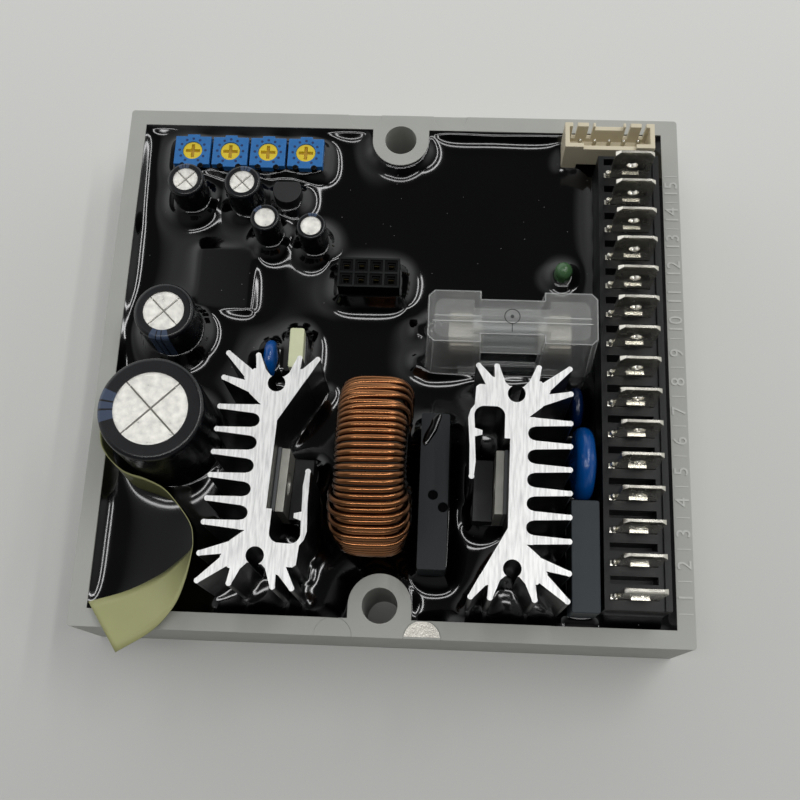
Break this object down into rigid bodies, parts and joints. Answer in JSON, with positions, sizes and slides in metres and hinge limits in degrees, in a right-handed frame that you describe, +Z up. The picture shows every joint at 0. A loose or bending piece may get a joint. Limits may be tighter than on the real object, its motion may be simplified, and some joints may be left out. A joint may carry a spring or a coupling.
{
  "type": "automatic voltage regulator",
  "caption": "Open-frame automatic voltage regulator potted in a shallow tray, with finned heat sinks, a toroidal choke, tab terminals, trimmers and a covered fuse.",
  "frame": {"origin": "centre of the tray's base, midway between the two fixing holes", "axes": "+X towards the row of tab terminals, +Y towards the edge with the trimmers and pin header, +Z up out of the open tray"},
  "size_m": [0.0984, 0.0968, 0.0429],
  "materials": {
    "tray_plastic": "moulded grey thermoplastic, fine matt",
    "board": "green solder mask on glass epoxy",
    "resin": "cast glossy black resin",
    "black_moulding": "satin black moulding",
    "tinned_brass": "bright tinned brass",
    "cream_nylon": "cream nylon",
    "contact_metal": "plain brass spring",
    "trimmer_blue": "blue moulding",
    "rotor_yellow": "yellow moulding",
    "can_aluminium": "drawn aluminium, satin",
    "black_sleeve": "shrunk vinyl sleeve",
    "anodised_aluminium": "black anodised with bright sawn ends",
    "black_epoxy": "transfer moulded epoxy",
    "plated_copper": "tin plated copper",
    "pad_grey": "silicone pad",
    "core_coat": "epoxy coated iron powder",
    "enamelled_copper": "enamelled copper wire",
    "film_box": "dark grey box, satin",
    "film_box_grey": "dark grey box, satin",
    "film_box_cream": "cream box",
    "blue_epoxy": "dipped blue epoxy",
    "navy_epoxy": "dipped dark blue epoxy",
    "lamp_green": "green diffused epoxy lens",
    "fuse_glass": "clear glass tube",
    "fuse_metal": "bright plated",
    "cover_frosted": "frosted translucent moulding",
    "film_yellow": "thin yellow-green film"
  },
  "bodies": {
    "regulator": {"tray": "tray_plastic", "circuit_board": "board", "potting_resin": "resin", "terminal_strip": "black_moulding", "tab_terminals": "tinned_brass", "header_shell": "cream_nylon", "header_pins": "tinned_brass", "socket_strip": "black_moulding", "socket_contacts": "contact_metal", "trimmer_body_1": "trimmer_blue", "trimmer_body_2": "trimmer_blue", "trimmer_body_3": "trimmer_blue", "trimmer_body_4": "trimmer_blue", "main_capacitor_can": "can_aluminium", "main_capacitor_sleeve": "black_sleeve", "supply_capacitor_can": "can_aluminium", "supply_capacitor_sleeve": "black_sleeve", "filter_capacitor_can_1": "can_aluminium", "filter_capacitor_sleeve_1": "black_sleeve", "filter_capacitor_can_2": "can_aluminium", "filter_capacitor_sleeve_2": "black_sleeve", "timing_capacitor_can_1": "can_aluminium", "timing_capacitor_sleeve_1": "black_sleeve", "timing_capacitor_can_2": "can_aluminium", "timing_capacitor_sleeve_2": "black_sleeve", "heat_sink_left": "anodised_aluminium", "heat_sink_right": "anodised_aluminium", "power_device_left": "black_epoxy", "power_device_right": "black_epoxy", "device_tab_left": "plated_copper", "device_tab_right": "plated_copper", "insulating_pad_left": "pad_grey", "insulating_pad_right": "pad_grey", "choke_core": "core_coat", "choke_winding": "enamelled_copper", "tall_film_capacitor": "film_box", "side_film_capacitor": "film_box_grey", "small_film_capacitor": "film_box_cream", "varistor": "blue_epoxy", "disc_capacitor_left": "blue_epoxy", "disc_capacitor_right": "navy_epoxy", "small_transistor": "black_epoxy", "indicator_lamp": "lamp_green", "potted_module": "black_epoxy", "fuse_base": "black_moulding", "fuse_clips": "tinned_brass", "fuse_tube": "fuse_glass", "fuse_wire": "fuse_metal", "fuse_end_caps": "fuse_metal", "film_tape": "film_yellow"},
    "trimmer_rotor_1": {"trimmer_rotor_1": "rotor_yellow"},
    "trimmer_rotor_2": {"trimmer_rotor_2": "rotor_yellow"},
    "trimmer_rotor_3": {"trimmer_rotor_3": "rotor_yellow"},
    "trimmer_rotor_4": {"trimmer_rotor_4": "rotor_yellow"},
    "fuse_cover": {"fuse_cover": "cover_frosted"}
  },
  "joints": [
    {"name": "trimmer_1_turn", "type": "hinge", "parent": "regulator", "child": "trimmer_rotor_1", "pos_m": [-0.0369, 0.0373, 0.0195], "axis": [0, 0, 1], "range_deg": [-130, 130]},
    {"name": "trimmer_2_turn", "type": "hinge", "parent": "regulator", "child": "trimmer_rotor_2", "pos_m": [-0.03016, 0.0373, 0.0195], "axis": [0, 0, 1], "range_deg": [-130, 130]},
    {"name": "trimmer_3_turn", "type": "hinge", "parent": "regulator", "child": "trimmer_rotor_3", "pos_m": [-0.02342, 0.0373, 0.0195], "axis": [0, 0, 1], "range_deg": [-130, 130]},
    {"name": "trimmer_4_turn", "type": "hinge", "parent": "regulator", "child": "trimmer_rotor_4", "pos_m": [-0.01668, 0.0373, 0.0195], "axis": [0, 0, 1], "range_deg": [-130, 130]},
    {"name": "fuse_cover_lift", "type": "slide", "parent": "regulator", "child": "fuse_cover", "axis": [0, 0, 1], "range_m": [0, 0.016]}
  ]
}
